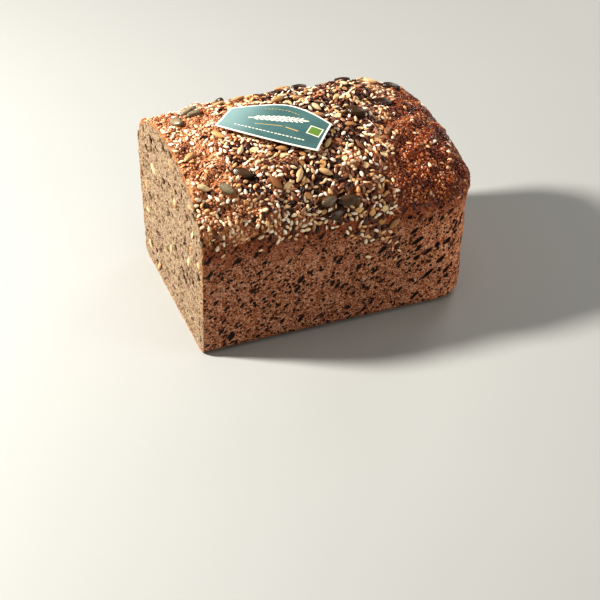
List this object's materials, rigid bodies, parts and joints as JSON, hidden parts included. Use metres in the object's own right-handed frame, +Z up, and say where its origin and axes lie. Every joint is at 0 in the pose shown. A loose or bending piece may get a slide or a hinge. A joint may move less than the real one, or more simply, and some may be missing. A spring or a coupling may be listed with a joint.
{
  "type": "seeded tin loaf",
  "caption": "Cut end-piece of a wholemeal tin loaf with a domed seeded crust, an open crumb face and a small paper label lying on top.",
  "frame": {"origin": "middle of the flat base, at the height of the surface it stands on", "axes": "+X along the loaf from the cut face to the baked end, +Y across the loaf, +Z up"},
  "size_m": [0.1508, 0.1124, 0.107],
  "materials": {
    "crust": "craggy baked crust, satin on the ridges, with pale and dark seeds",
    "label_paper": "smooth coated paper, blue-green with a pale border"
  },
  "bodies": {
    "root": {"loaf": "crust", "label": "label_paper"}
  },
  "joints": []
}
